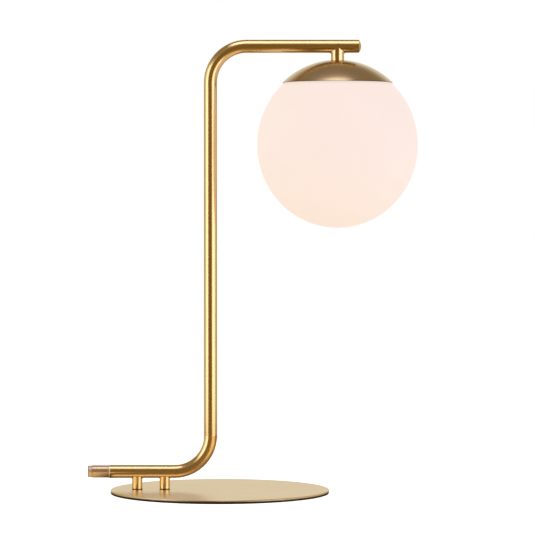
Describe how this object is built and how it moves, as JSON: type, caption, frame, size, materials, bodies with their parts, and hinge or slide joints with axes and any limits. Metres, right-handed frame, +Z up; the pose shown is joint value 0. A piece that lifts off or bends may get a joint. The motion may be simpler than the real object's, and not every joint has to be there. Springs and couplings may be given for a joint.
{
  "type": "table lamp",
  "caption": "Table lamp with an opal glass globe hanging from a bent satin gold tube on a thin round base.",
  "frame": {"origin": "centre of the base pad's underside, on the table", "axes": "+Z up; +X from the upright towards the globe, along the arms; +Y away from the picture's viewer"},
  "size_m": [0.3016, 0.2, 0.4143],
  "materials": {
    "gold_base": "satin champagne gold",
    "gold_tube": "satin gold",
    "gold_post": "satin gold",
    "gold_cap": "satin gold",
    "rose_gland": "satin rose gold",
    "clear_nylon": "plain nylon",
    "black_pad": "matt foam rubber",
    "zinc_steel": "zinc plated",
    "opal_glass": "satin opal",
    "silicone": "matt silicone",
    "white_ceramic": "matt ceramic",
    "contact_brass": "plain brass",
    "brown_lead": "silicone insulation",
    "blue_lead": "silicone insulation",
    "green_yellow_lead": "silicone insulation",
    "bulb_white": "gloss",
    "board_white": "white board",
    "chip_yellow": "phosphor",
    "bulb_diffuser": "frosted"
  },
  "bodies": {
    "frame": {"base_plate": "gold_base", "base_pad": "black_pad", "base_screws": "zinc_steel", "outer_post": "gold_post", "inner_post": "gold_post", "stem_tube": "gold_tube", "arm_end_plug": "gold_tube", "joint_ring": "gold_post", "cord_gland": "rose_gland", "gland_screw": "clear_nylon", "neck_bush": "gold_post", "globe_cap": "gold_cap", "hollow_nipple": "zinc_steel", "toothed_washer": "zinc_steel", "cap_nut": "zinc_steel", "holder_spacer": "zinc_steel", "glass_holder": "zinc_steel", "holder_nut": "zinc_steel", "lampholder_bracket": "zinc_steel", "lampholder_body": "white_ceramic", "lampholder_screws": "zinc_steel", "lampholder_contacts": "contact_brass", "earth_tag": "contact_brass", "earth_screw": "zinc_steel", "live_lead": "brown_lead", "neutral_lead": "blue_lead", "earth_lead": "green_yellow_lead", "crimp_ferrules": "contact_brass"},
    "gasket": {"globe_gasket": "silicone"},
    "globe": {"glass_globe": "opal_glass"},
    "bulb": {"bulb_base": "bulb_white", "bulb_pins": "zinc_steel", "bulb_board": "board_white", "bulb_chips": "chip_yellow", "bulb_cover": "bulb_diffuser"}
  },
  "joints": [
    {"name": "globe_drop", "type": "slide", "parent": "frame", "child": "gasket", "axis": [0, 0, -1], "range_m": [0, 0.00447]},
    {"name": "globe_unscrew", "type": "hinge", "parent": "gasket", "child": "globe", "pos_m": [0.1075, 0, 0.31846], "axis": [0, 0, -1], "range_deg": [0, 450]},
    {"name": "bulb_pull", "type": "slide", "parent": "frame", "child": "bulb", "axis": [0, 0, -1], "range_m": [0, 0.008]}
  ],
  "couplings": [
    {"joint": "globe_drop", "follows": "globe_unscrew", "m_per_rad": 0.00055704}
  ]
}
